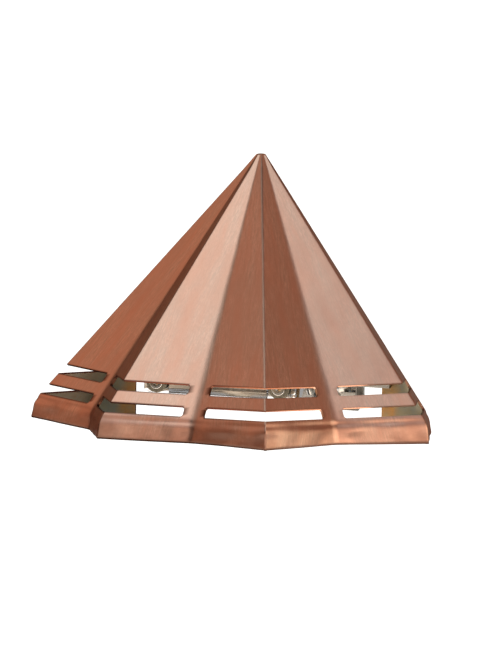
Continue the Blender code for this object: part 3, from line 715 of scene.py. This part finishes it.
def sheet_metal(name, colour, roughness, grain=(1.0, 1.0, 12.0)):
    """Rolled or polished metal: faint lines, cloudy tone and small roughness changes."""
    look = Look(name, colour, metallic=1.0, roughness=roughness)
    lines = look.noise(look.object_coordinates(grain), 900.0, 4.0, 0.6)
    clouds = look.noise(look.object_coordinates(), 110.0, 4.0)
    toned = look.mix(look.spread(clouds, 0.0, 0.8), colour, tint(colour, 0.85))
    lined = look.mix(look.spread(lines, 0.0, 0.5), toned, tint(colour, 0.92))
    rough = look.spread(clouds, max(0.02, roughness - 0.04), roughness + 0.06)
    return look.use(base_color=lined, roughness=rough, normal=look.bump(lines, 0.00001, 0.35))


def fibre(name, colour):
    """Vulcanised fibre: matt, with short flecks."""
    look = Look(name, colour, roughness=0.7)
    flecks = look.noise(look.object_coordinates((1.0, 1.0, 3.0)), 1500.0, 5.0, 0.7)
    toned = look.mix(look.spread(flecks, 0.0, 1.0), tint(colour, 0.7), tint(colour, 1.35))
    return look.use(base_color=toned, normal=look.bump(flecks, 0.00004, 0.6))


def soft_plastic(name, colour, roughness=0.45):
    """Cable insulation or moulded rubber, with a fine uneven skin."""
    look = Look(name, colour, roughness=roughness)
    skin = look.noise(look.object_coordinates(), 1300.0, 4.0, 0.6)
    toned = look.mix(look.spread(skin, 0.0, 1.0), tint(colour, 0.8), tint(colour, 1.3))
    rough = look.spread(skin, roughness - 0.08, roughness + 0.1)
    return look.use(base_color=toned, roughness=rough, normal=look.bump(skin, 0.00002, 0.5))


def clear_glass(name, colour, deep):
    """Blown glass: clear, with slow waves in it."""
    look = Look(name, colour, roughness=0.02, transmission_weight=1.0)
    look.shader.inputs["IOR"].default_value = GLASS_IOR
    waves = look.noise(look.object_coordinates((1.0, 4.0, 4.0)), 120.0, 2.0)
    tone = look.mix(look.spread(waves, 0.0, 1.0), colour, deep)
    return look.use(base_color=tone, normal=look.bump(waves, 0.00003, 0.3))


COPPER = (0.80, 0.45, 0.33)
CUT_COPPER = (0.70, 0.43, 0.31)
EDGE_ON = (0.17, 0.085, 0.06)       # the copper's tint where it is seen edge on
ROSY = (0.98, 0.80, 0.74)           # the rosy bands, as shares of the copper's colour
# The colour of the painted shade on the edges
EDGE_SHADE = (0.10, 0.035, 0.02)
SWIRL_TURN = 32.0                   # from the grain to the brushed swirls, in degrees
EDGE_SHADE_RUN = (0.004, 0.034)      # the X between which the edges' painted shade fades
LIP_BLOTCH_SHADE = (-0.0125, -0.0145)    # from and to this Z the painted shade's blotches set in
FLANGE_SHADE_RUN = (0.0465, 0.0495)      # from and to this distance from the middle the flanges' painted shade sets in
FLANGE_UNEVEN = 0.0025
GLASS_IOR = 1.47
# Oxide of three kinds. On the flanges, golden brown as a painted reflection of the copper around
# them, and a fourth tone far out, by the fold, as painted shade
INSIDE_TONES = ((0.30, 0.26, 0.19), (0.36, 0.25, 0.16), (0.34, 0.33, 0.28))
FLANGE_PAINTED_TONES = ((0.40, 0.22, 0.07), (0.36, 0.17, 0.065), (0.26, 0.22, 0.13), (0.21, 0.22, 0.185))
MATERIALS = {
    # The last value: how far the painted shade darkens the edges at -X and at +X
    "brushed_copper": brushed_copper("brushed_copper", COPPER, 0.33, (1.0, 0.3)),
    "plate_steel": sheet_metal("plate_steel", (0.50, 0.50, 0.47), 0.32, (12.0, 1.0, 1.0)),
    "polished_steel": sheet_metal("polished_steel", (0.84, 0.89, 0.98), 0.10),
    "mirror_aluminium": sheet_metal("mirror_aluminium", (0.86, 0.86, 0.87), 0.14),
    "yellow_brass": sheet_metal("yellow_brass", (0.72, 0.52, 0.22), 0.26),
    "eyelet_metal": sheet_metal("eyelet_metal", (0.74, 0.73, 0.70), 0.16),
    "grey_fibre": fibre("grey_fibre", (0.22, 0.205, 0.16)),
    "spring_bronze": sheet_metal("spring_bronze", (0.68, 0.47, 0.26), 0.25),
    "tinned_brass": sheet_metal("tinned_brass", (0.70, 0.68, 0.62), 0.3),
    "black_insulation": soft_plastic("black_insulation", (0.02, 0.02, 0.022)),
    "blue_insulation": soft_plastic("blue_insulation", (0.025, 0.045, 0.19)),
    "black_rubber": soft_plastic("black_rubber", (0.018, 0.018, 0.018), 0.6),
    "clear_glass": clear_glass("clear_glass", (0.97, 0.99, 0.98), (0.93, 0.97, 0.96)),
    "lamp_cap_metal": sheet_metal("lamp_cap_metal", (0.78, 0.77, 0.74), 0.15),
    "tungsten": sheet_metal("tungsten", (0.22, 0.21, 0.20), 0.35),
}
SLOT_OF = {row["node"]: row["material_slot"] for row in frame["record"]["subparts"]}


# Pieces that stand for the CAD nodes, in millimetres

EYELET = (2.3, 1.5, 1.0, 0.2)           # radii of the flange, shank and bore, and of its roll
LAMP_CAP = (4.25, 1.7, 0.9, 0.9)        # radius, nose radius and length, shoulder
CAP_NOSE_ROUND = 0.4
CAP_SHOULDER_DROP = 0.1
CAP_RIM = ((0.0, 1.1), (0.15, 0.8), (0.15, 0.4), (0.0, 0.1), (0.1, 0.0))    # in, and from the end
FILAMENT = (0.09, 46, 10)               # wire radius, turns, and points in each
FILAMENT_REACH = 0.45                   # the coil's outer radius
WASHER_BORE = 1.8
WASHER_EDGE = 0.15
STRAP_ROWS = 36
STRAP_REACH = 26.0                      # the strap's straight part: half its length, and depth
STRAP_DEPTH = 1.6
STRAP_ROLL = (1.3, 0.85)                # height and depth of its rolled lower edge
STRAP_SHOULDER = (2.5, 4.0, 0.55)       # from and to this height it leans back, and how far
EDGE_ROUNDING = {                       # of the pieces that keep their CAD shape
    "back_plate": 0.25, "reflector": 0.12, "hanger_strap": 0.2, "hanger_nut": 0.3,
    "retaining_screw": 0.1, "lamp_clip_left": 0.1, "lamp_clip_right": 0.1,
    "terminal_left": 0.15, "terminal_right": 0.15,
}
FINE_ROUNDING = 0.06
RIVET_ROUNDING = 0.08
STRAP_ROUNDING = 0.18


def stand_for(obj, node):
    """obj takes the node's place and moves with its body."""
    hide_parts(node)
    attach(obj, frame["nodes"][node]["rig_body"])


def rounded(obj, width, segments=3, angle=35.0, harden=True):
    """Rounds the edges sharper than an angle in degrees."""
    bevel = obj.modifiers.new("Edges", "BEVEL")
    bevel.width = width * MM
    bevel.segments = segments
    bevel.limit_method = "ANGLE"
    bevel.angle_limit = math.radians(angle)
    bevel.harden_normals = harden


def fine_object(node, data):
    """An object for a finer version of the node, in its material."""
    data.materials.append(MATERIALS[SLOT_OF[node]])
    obj = bpy.data.objects.new(f"{node}_fine", data)
    bpy.context.scene.collection.objects.link(obj)
    stand_for(obj, node)
    return obj


def refined(node, edge=0.0, subdivide=0, shape=None):
    """The node's own shape with its facets merged into whole faces and its edges rounded."""
    bm = bmesh.new()
    bm.from_mesh(frame["nodes"][node].data)
    bmesh.ops.remove_doubles(bm, verts=bm.verts, dist=2e-6)
    if not subdivide:
        bmesh.ops.dissolve_limit(bm, angle_limit=math.radians(1.0), verts=bm.verts, edges=bm.edges)
    if shape:
        shape(bm)
    obj = fine_object(node, smooth_mesh(node, bm, SHARP_ANGLE))
    if edge:
        rounded(obj, edge)
    if subdivide:
        smooth = obj.modifiers.new("Smooth", "SUBSURF")
        smooth.levels = smooth.render_levels = subdivide


def roll_strap(bm):
    """Rolls the strap's lower edge back, and sets its upper part back behind a shoulder."""
    front = min(vert.co.y for vert in bm.verts)

    def on_strap():
        return [vert for vert in bm.verts
                if abs(vert.co.x) < STRAP_REACH * MM and vert.co.y < front + STRAP_DEPTH * MM]

    low = min(vert.co.z for vert in on_strap())
    high = max(vert.co.z for vert in on_strap())
    height, curl = STRAP_ROLL
    bottom, top, depth = STRAP_SHOULDER
    for i in range(1, STRAP_ROWS):
        place = Vector((0.0, 0.0, low + (high - low) * i / STRAP_ROWS))
        bmesh.ops.bisect_plane(bm, geom=[*bm.verts, *bm.edges, *bm.faces], plane_co=place,
                               plane_no=(0.0, 0.0, 1.0))
    for vert in on_strap():
        up = (vert.co.z - low) / MM
        roll = max(0.0, 1.0 - up / height) ** 2 * curl
        share = clamped((up - bottom) / (top - bottom))
        vert.co.y += (roll + depth * share * share * (3 - 2 * share)) * MM


def turned(node, profile, axis, steps=72):
    """A solid of revolution: the profile is (radius, distance along the axis), in millimetres."""
    bm = bmesh.new()
    centre = middle(node)
    along = Vector([float(letter == axis) for letter in "XYZ"])
    side = Vector((0.0, 1.0, 0.0)) if axis == "X" else Vector((1.0, 0.0, 0.0))
    verts = [bm.verts.new(centre + (side * radius + along * reach) * MM)
             for radius, reach in profile]
    edges = [bm.edges.new(pair) for pair in zip(verts, verts[1:])]
    if profile[0][0] > 0.0:
        edges.append(bm.edges.new((verts[-1], verts[0])))
    bmesh.ops.spin(bm, geom=verts + edges, cent=centre, axis=along, angle=2 * math.pi, steps=steps,
                   use_merge=True)
    bmesh.ops.remove_doubles(bm, verts=bm.verts, dist=1e-7)
    bmesh.ops.recalc_face_normals(bm, faces=bm.faces)
    fine_object(node, smooth_mesh(node, bm, TURNED_SHARP_ANGLE))


def middle(node):
    """The middle of the node's box, in metres."""
    low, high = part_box(node)
    return (low + high) / 2


def extent(node, axis):
    """The node's length along an axis, in millimetres."""
    low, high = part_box(node)
    return (high - low)["XYZ".index(axis)] / MM


def quarter(radius, reach, size, start, steps=4):
    """A profile's points on a quarter round about (radius, reach), from start degrees on."""
    points = []
    for i in range(steps + 1):
        angle = math.radians(start + 90.0 * i / steps)
        points.append((radius + size * math.cos(angle), reach + size * math.sin(angle)))
    return points


def washer(node):
    """A ring with a rounded front edge, a side that tapers, and a dished back."""
    half, outer = extent(node, "Y") / 2, extent(node, "X") / 2
    edge = WASHER_EDGE
    profile = [(WASHER_BORE, half), *quarter(outer - edge, half - edge, edge, 90.0)[::-1]]
    profile += [*quarter(outer - edge, -half + edge, edge, -90.0)[::-1], (WASHER_BORE, -half)]
    turned(node, profile, "Y")


def eyelet(node):
    """A tubular rivet: each end is rolled over into a rounded flange."""
    half = extent(node, "Y") / 2
    flange, shank, bore, roll = EYELET
    front = [*quarter(flange - roll, half - roll, roll, 0.0),
             *quarter(bore + roll, half - roll, roll, 90.0)]
    under = half - 2 * roll
    profile = front + [(radius, -reach) for radius, reach in reversed(front)]
    profile += [(flange, -under), (shank, -under), (shank, under), (flange, under)]
    turned(node, profile, "Y")


def lamp_cap(node, sign):
    """The drawn metal cap: a creased shoulder, and a dimpled nose that the clip touches."""
    half = extent(node, "X") / 2
    radius, nose, nose_length, shoulder = LAMP_CAP
    base = half - nose_length
    top = base - CAP_SHOULDER_DROP
    edge = CAP_NOSE_ROUND
    profile = [(0.0, half), *quarter(nose - edge, half - edge, edge, 90.0)[::-1]]
    profile += [(nose, base), (radius - shoulder, top)]
    profile += quarter(radius - shoulder, top - shoulder, shoulder, 90.0)[::-1]
    profile += [(radius - inwards, -half + reach) for inwards, reach in CAP_RIM] + [(0.0, -half)]
    turned(node, [(r, sign * x) for r, x in profile], "X")


def filament(node):
    """A fine coil that hangs in a shallow curve between the caps."""
    wire, turns, steps = FILAMENT
    coil = FILAMENT_REACH - wire
    sag = extent(node, "Z") - 2 * FILAMENT_REACH
    reach = extent(node, "X") / 2 - wire
    curve = bpy.data.curves.new(node, "CURVE")
    curve.dimensions = "3D"
    curve.bevel_depth = wire * MM
    curve.bevel_resolution = 2
    curve.use_fill_caps = True
    spline = curve.splines.new("POLY")
    count = turns * steps
    spline.points.add(count)
    for i, point in enumerate(spline.points):
        share = 2 * i / count - 1
        angle = 2 * math.pi * i / steps
        height = coil * math.sin(angle) + sag * (share ** 2 - 0.5)
        offset = Vector((share * reach, coil * math.cos(angle), height))
        point.co = (*(middle(node) + offset * MM), 1.0)
    fine_object(node, curve)


def main_pieces():
    """Every visible piece, each in its CAD node's place."""
    inside = dulled_copper("dulled_copper", *INSIDE_TONES)
    # The flanges' inside: painted reflection and painted shade
    flange = dulled_copper("flange_painted_copper", *FLANGE_PAINTED_TONES)
    # Cut edges: painted shade from 0.9 at -X to none at +X
    cut = brushed_copper("cut_copper", CUT_COPPER, 0.28, (0.9, 0.0))
    shade = copper_shade([MATERIALS["brushed_copper"], inside, cut, flange])
    stand_for(shade, "copper_shade")
    for node, edge in EDGE_ROUNDING.items():
        refined(node, edge)
    refined("lamp_bracket", STRAP_ROUNDING, shape=roll_strap)
    for side, sign in (("left", -1), ("right", 1)):
        refined(f"lead_{side}", subdivide=1)
        washer(f"front_washer_{side}")
        washer(f"rear_washer_{side}")
        eyelet(f"eyelet_{side}")
        lamp_cap(f"lamp_cap_{side}", sign)
        refined(f"reflector_rivet_{side}", RIVET_ROUNDING)
    for i in range(1, 5):
        refined(f"bracket_rivet_{i}", RIVET_ROUNDING)
    for node in ("lead_grommet", "lamp_glass", "retaining_washer"):
        refined(node, FINE_ROUNDING)
    filament("lamp_filament")


main_pieces()


# Stage, light and camera

CAMERA_AZIMUTH = 20.73
CAMERA_ELEVATION = 5.89
CAMERA_ROLL = 0.79
CAMERA_DISTANCE = 1.5
CAMERA_AIM = (-0.0398, 0.3783)     # across the view, and up, in lip radii
FOCAL_LENGTH = 246.8
SENSOR_WIDTH = 36.0
CLIP_END = 60.0

# Key light: azimuth, elevation, distance, size in metres, power and colour
KEY = (14.0, 62.0, 0.9, (0.5, 0.4), 0.58, (0.74, 1.0, 1.0))

# Glow under the shade: its middle, size, power and colour
UNDER_PLACE = (0.0, -0.028)
UNDER_SIZE = (0.10, 0.05)
UNDER_POWER = 0.03
UNDER_COLOUR = (1.0, 0.84, 0.72)
UNDER_GAP = 0.0003

# Floor
LAMP_TRAVEL = 0.040           # how far the lamp pulls down, in metres
FLOOR_GAP = 0.004
FLOOR_HALF = 20.0             # half its width, in metres
FLOOR_COLOUR = (0.85, 0.85, 0.85)
FLOOR_SHINE = (0.02, 0.9)     # its own light, to reflections and to the camera

# The room's soft lights: azimuth, elevation, width in degrees at half strength, and colour
ROOM = (0.035, 0.03, 0.028)
GLOWS = (
    (14.0, 62.0, 20.0, (0.50, 0.54, 0.63)),
    (-34.0, 60.0, 18.0, (0.22, 0.30, 0.30)),
    (-95.0, 36.0, 17.0, (0.42, 0.25, 0.175)),
    (-145.0, 40.0, 28.0, (0.26, 0.26, 0.20)),
    (126.0, 40.0, 26.0, (0.28, 0.17, 0.12)),
    (178.0, 20.0, 30.0, (0.20, 0.17, 0.15)),
    (-72.0, 12.0, 22.0, (0.39, 0.235, 0.155)),
    (35.0, 12.0, 22.0, (0.95, 0.84, 0.74)),
    (75.0, 12.0, 22.0, (1.60, 1.60, 1.30)),
)
GLOW_EDGES = (0.25, 1.75)     # where a glow is full, and where it ends, as shares of its width


def direction(azimuth, elevation):
    """A unit vector: azimuth from the front towards +X, elevation up, in degrees."""
    a, e = math.radians(azimuth), math.radians(elevation)
    return Vector((math.sin(a) * math.cos(e), -math.cos(a) * math.cos(e), math.sin(e)))


def looking(obj, place, towards, roll=0.0):
    """obj at a place, with its -Z towards a point, rolled about that line."""
    back = (place - towards).normalized()
    right = Vector((0.0, 0.0, 1.0)).cross(back).normalized()
    up = back.cross(right)
    r = math.radians(roll)
    x, y = right * math.cos(r) + up * math.sin(r), up * math.cos(r) - right * math.sin(r)
    turn = Matrix((x, y, back)).transposed()
    obj.matrix_world = Matrix.Translation(place) @ turn.to_4x4()
    bpy.context.scene.collection.objects.link(obj)


def make_camera():
    """The photograph's view: a long lens, a little above the front right."""
    data = bpy.data.cameras.new("view")
    data.lens = FOCAL_LENGTH
    data.sensor_width = SENSOR_WIDTH
    data.clip_end = CLIP_END
    camera = bpy.data.objects.new("view", data)
    a = math.radians(CAMERA_AZIMUTH)
    across, up = CAMERA_AIM[0] * LIP_RADIUS, CAMERA_AIM[1] * LIP_RADIUS - MIDDLE_HEIGHT
    aim = Vector((across * math.cos(a), across * math.sin(a), up)) * MM
    place = aim + direction(CAMERA_AZIMUTH, CAMERA_ELEVATION) * CAMERA_DISTANCE
    looking(camera, place, aim, CAMERA_ROLL)
    bpy.context.scene.camera = camera


def soft_light(name, shape, size, power, colour):
    """An area light that the camera doesn't see."""
    data = bpy.data.lights.new(name, "AREA")
    data.shape = shape
    data.size, data.size_y = size
    data.energy = power
    data.color = colour
    light = bpy.data.objects.new(name, data)
    light.visible_camera = False
    return light


def key_light():
    azimuth, elevation, distance, size, power, colour = KEY
    light = soft_light("key", "RECTANGLE", size, power, colour)
    looking(light, direction(azimuth, elevation) * distance, Vector((0.0, 0.0, 0.0)))


def under_light():
    """A soft glow inside the shade's outline, which lights what hangs in it."""
    light = soft_light("under", "ELLIPSE", UNDER_SIZE, UNDER_POWER, UNDER_COLOUR)
    place = Vector((*UNDER_PLACE, CAD_BOX[0].z - UNDER_GAP))
    light.matrix_world = Matrix.Translation(place) @ Matrix.Rotation(math.pi, 4, "X")
    bpy.context.scene.collection.objects.link(light)


def make_floor():
    """A pale floor below the pulled lamp, brighter to the camera than to the copper."""
    bm = bmesh.new()
    bmesh.ops.create_grid(bm, x_segments=8, y_segments=8, size=FLOOR_HALF)
    mesh = bpy.data.meshes.new("floor")
    bm.to_mesh(mesh)
    bm.free()
    floor = bpy.data.objects.new("floor", mesh)
    lamp_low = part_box("lamp_cap_left")[0].z - LAMP_TRAVEL
    floor.location.z = min(CAD_BOX[0].z, lamp_low) - FLOOR_GAP
    bpy.context.scene.collection.objects.link(floor)
    look = Look("floor", FLOOR_COLOUR, roughness=0.9)
    look.shader.inputs["Emission Color"].default_value = (1.0, 1.0, 1.0, 1.0)
    seen = look.node("ShaderNodeLightPath").outputs["Is Camera Ray"]
    strength = look.spread(seen, *FLOOR_SHINE, 0.0, 1.0)
    mesh.materials.append(look.use(emission_strength=strength))


def make_world():
    """A dim studio room with broad soft glows, and white where the camera sees it."""
    world = bpy.data.worlds.new("studio")
    world.use_nodes = True
    bpy.context.scene.world = world
    tree = world.node_tree
    background = tree.nodes["Background"]
    coordinates = tree.nodes.new("ShaderNodeTexCoord").outputs["Generated"]
    total = None
    full, end = GLOW_EDGES
    for azimuth, elevation, width, colour in GLOWS:
        facing = tree.nodes.new("ShaderNodeVectorMath")
        facing.operation = "DOT_PRODUCT"
        facing.inputs[1].default_value = direction(azimuth, elevation)
        tree.links.new(coordinates, facing.inputs[0])
        share = tree.nodes.new("ShaderNodeMapRange")
        share.interpolation_type = "SMOOTHSTEP"
        share.inputs[1].default_value = math.cos(math.radians(end * width))
        share.inputs[2].default_value = math.cos(math.radians(full * width))
        tree.links.new(facing.outputs["Value"], share.inputs[0])
        glow = tree.nodes.new("ShaderNodeVectorMath")
        glow.operation = "MULTIPLY_ADD"
        glow.inputs[0].default_value = colour
        tree.links.new(share.outputs["Result"], glow.inputs[1])
        if total is None:
            glow.inputs[2].default_value = ROOM
        else:
            tree.links.new(total, glow.inputs[2])
        total = glow.outputs["Vector"]
    path = tree.nodes.new("ShaderNodeLightPath")
    mix = tree.nodes.new("ShaderNodeMix")
    mix.data_type = "VECTOR"
    tree.links.new(path.outputs["Is Camera Ray"], mix.inputs[0])
    tree.links.new(total, mix.inputs[4])
    mix.inputs[5].default_value = (1.0, 1.0, 1.0)
    tree.links.new(mix.outputs[1], background.inputs["Color"])


make_camera()
make_world()
make_floor()
under_light()
key_light()
bpy.context.scene.view_settings.view_transform = "Standard"
